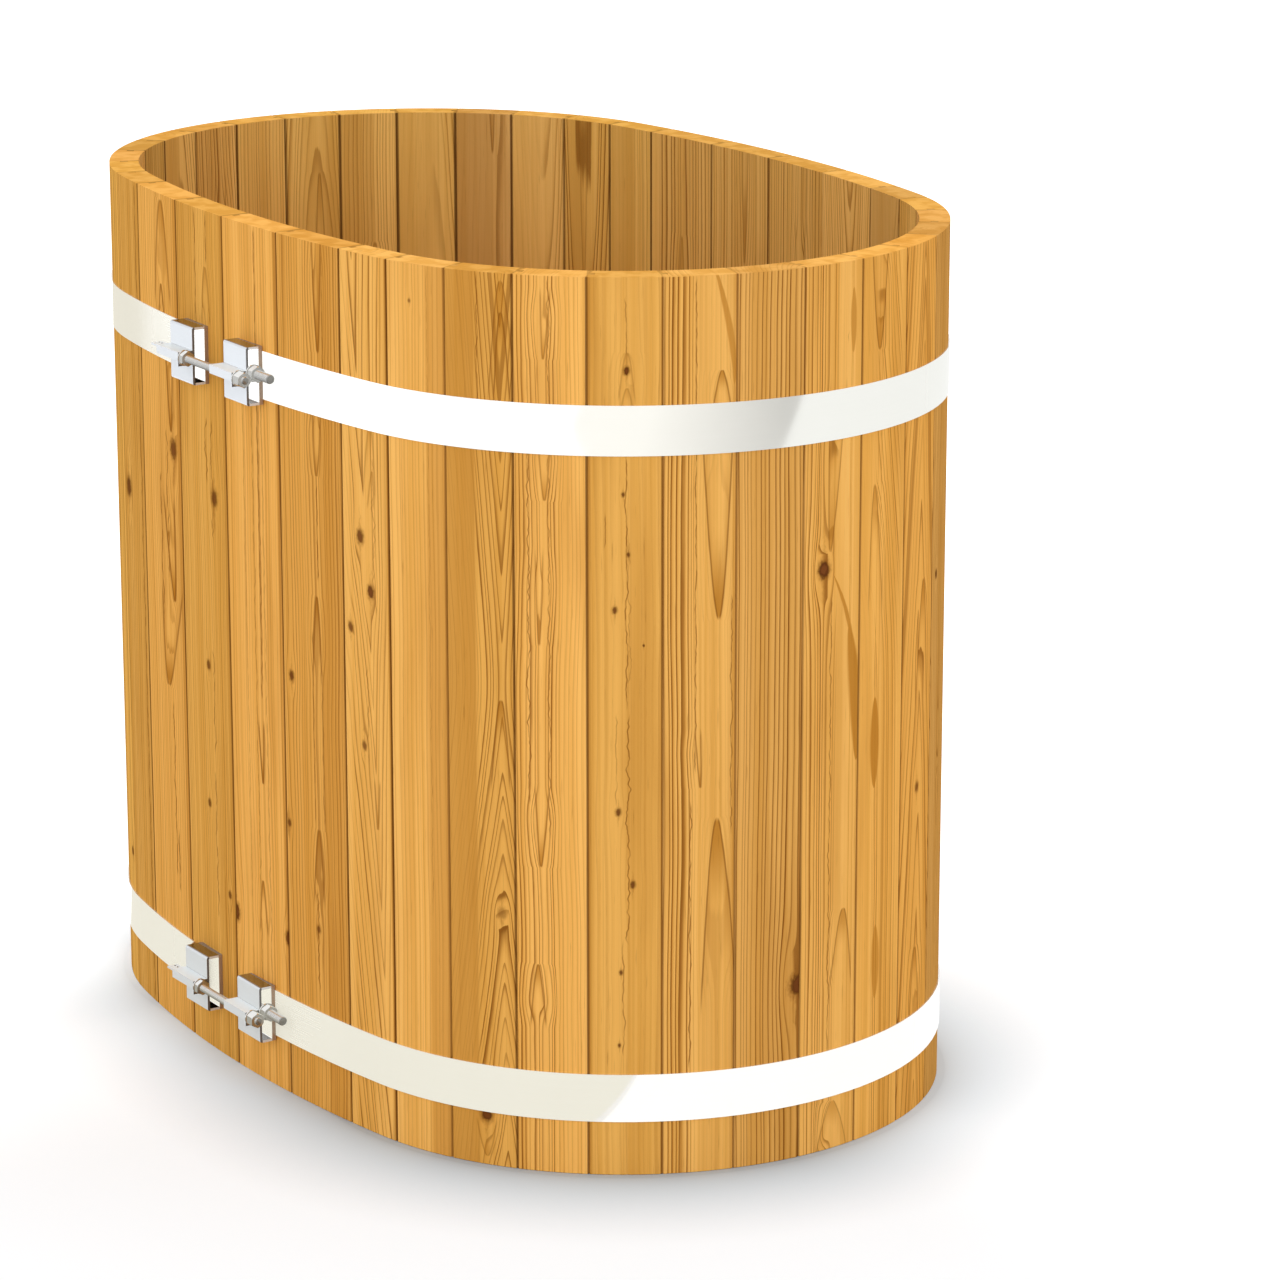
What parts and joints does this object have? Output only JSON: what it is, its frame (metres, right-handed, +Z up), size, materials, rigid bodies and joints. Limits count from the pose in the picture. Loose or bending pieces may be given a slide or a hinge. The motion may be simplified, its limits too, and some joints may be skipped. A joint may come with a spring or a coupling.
{
  "type": "oval hot tub",
  "caption": "Oval coopered hot tub: upright wooden staves on a floor let into their groove, drawn tight by flat steel hoops with screw clamps; slatted seat and plugged drain inside.",
  "frame": {"origin": "on the ground below the middle of the oval, at the underside of the middle bearer", "axes": "+X along the tub towards the end opposite the seat, +Y across it towards the side with the drain, +Z up; the clamps are at the middle of the -Y side"},
  "size_m": [1.3198, 0.9294, 1.1],
  "materials": {
    "staves": "oiled, satin, knotty softwood with upright grain",
    "floor": "planed, oiled",
    "seat": "planed, oiled",
    "hoops": "smooth rolled stainless strip",
    "lugs": "smooth stainless",
    "fasteners": "stainless, turned",
    "drain": "polished",
    "rubber": "matt"
  },
  "bodies": {
    "tub": {"stave_01": "staves", "stave_02": "staves", "stave_03": "staves", "stave_04": "staves", "stave_05": "staves", "stave_06": "staves", "stave_07": "staves", "stave_08": "staves", "stave_09": "staves", "stave_10": "staves", "stave_11": "staves", "stave_12": "staves", "stave_13": "staves", "stave_14": "staves", "stave_15": "staves", "stave_16": "staves", "stave_17": "staves", "stave_18": "staves", "stave_19": "staves", "stave_20": "staves", "stave_21": "staves", "stave_22": "staves", "stave_23": "staves", "stave_24": "staves", "stave_25": "staves", "stave_26": "staves", "stave_27": "staves", "stave_28": "staves", "stave_29": "staves", "stave_30": "staves", "stave_31": "staves", "stave_32": "staves", "stave_33": "staves", "stave_34": "staves", "stave_35": "staves", "stave_36": "staves", "floor_boards": "floor", "floor_bearer_1": "floor", "floor_bearer_2": "floor", "floor_bearer_3": "floor", "upper_hoop": "hoops", "lower_hoop": "hoops", "upper_left_lug": "lugs", "upper_right_lug": "lugs", "lower_left_lug": "lugs", "lower_right_lug": "lugs", "upper_draw_bolt": "fasteners", "lower_draw_bolt": "fasteners", "lock_nuts": "fasteners", "washers": "fasteners", "lug_studs": "fasteners", "stud_nuts": "fasteners", "drain_body": "drain", "drain_gasket": "rubber", "drain_lock_nut": "drain", "seat_boards": "seat", "seat_ledges": "seat"},
    "upper_nut": {"upper_draw_nut": "fasteners"},
    "lower_nut": {"lower_draw_nut": "fasteners"},
    "plug": {"drain_plug": "rubber"}
  },
  "joints": [
    {"name": "upper_draw_nut_turn", "type": "hinge", "parent": "tub", "child": "upper_nut", "pos_m": [0.11, -0.4545, 0.919], "axis": [1, 0, 0], "continuous": true},
    {"name": "lower_draw_nut_turn", "type": "hinge", "parent": "tub", "child": "lower_nut", "pos_m": [0.11, -0.4545, 0.098], "axis": [1, 0, 0], "continuous": true},
    {"name": "drain_plug_pull", "type": "slide", "parent": "tub", "child": "plug", "axis": [-0.0339, -0.9994, 0], "range_m": [0, 0.05]}
  ]
}
